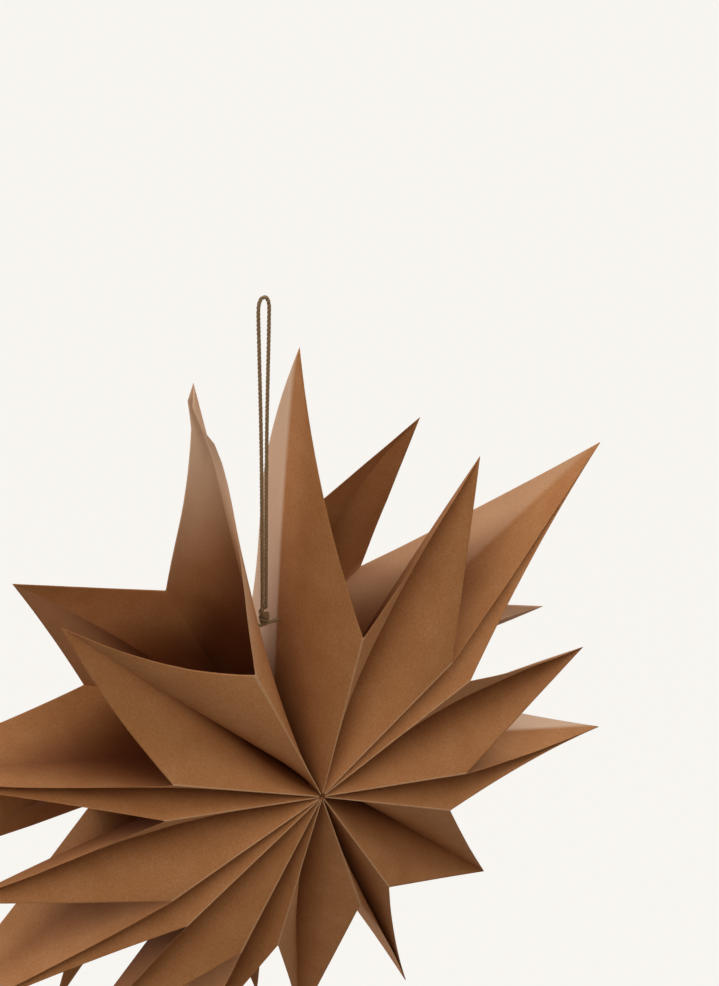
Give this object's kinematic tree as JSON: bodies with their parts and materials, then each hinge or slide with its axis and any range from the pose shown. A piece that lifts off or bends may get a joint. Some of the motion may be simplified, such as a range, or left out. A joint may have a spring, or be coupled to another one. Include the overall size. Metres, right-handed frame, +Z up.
{
  "type": "hanging paper bag star",
  "caption": "Folded kraft paper bags with slanted cut points, glued side to side and fanned into a round star that hangs from a doubled jute twine",
  "frame": {"origin": "seat of the twine loop on its hook, above the star", "axes": "+Z up along the twine, star axis along Y with the front at -Y, +X to the right seen from the front"},
  "size_m": [0.5719, 0.12, 0.6268],
  "materials": {
    "kraft_paper": "matt, fibrous",
    "jute_twine": "twisted, hairy"
  },
  "bodies": {
    "root": {"paper_bag_1": "kraft_paper", "paper_bag_2": "kraft_paper", "paper_bag_3": "kraft_paper", "paper_bag_4": "kraft_paper", "paper_bag_5": "kraft_paper", "paper_bag_6": "kraft_paper", "paper_bag_7": "kraft_paper", "hanging_twine": "jute_twine", "twine_tie": "jute_twine"}
  },
  "joints": []
}
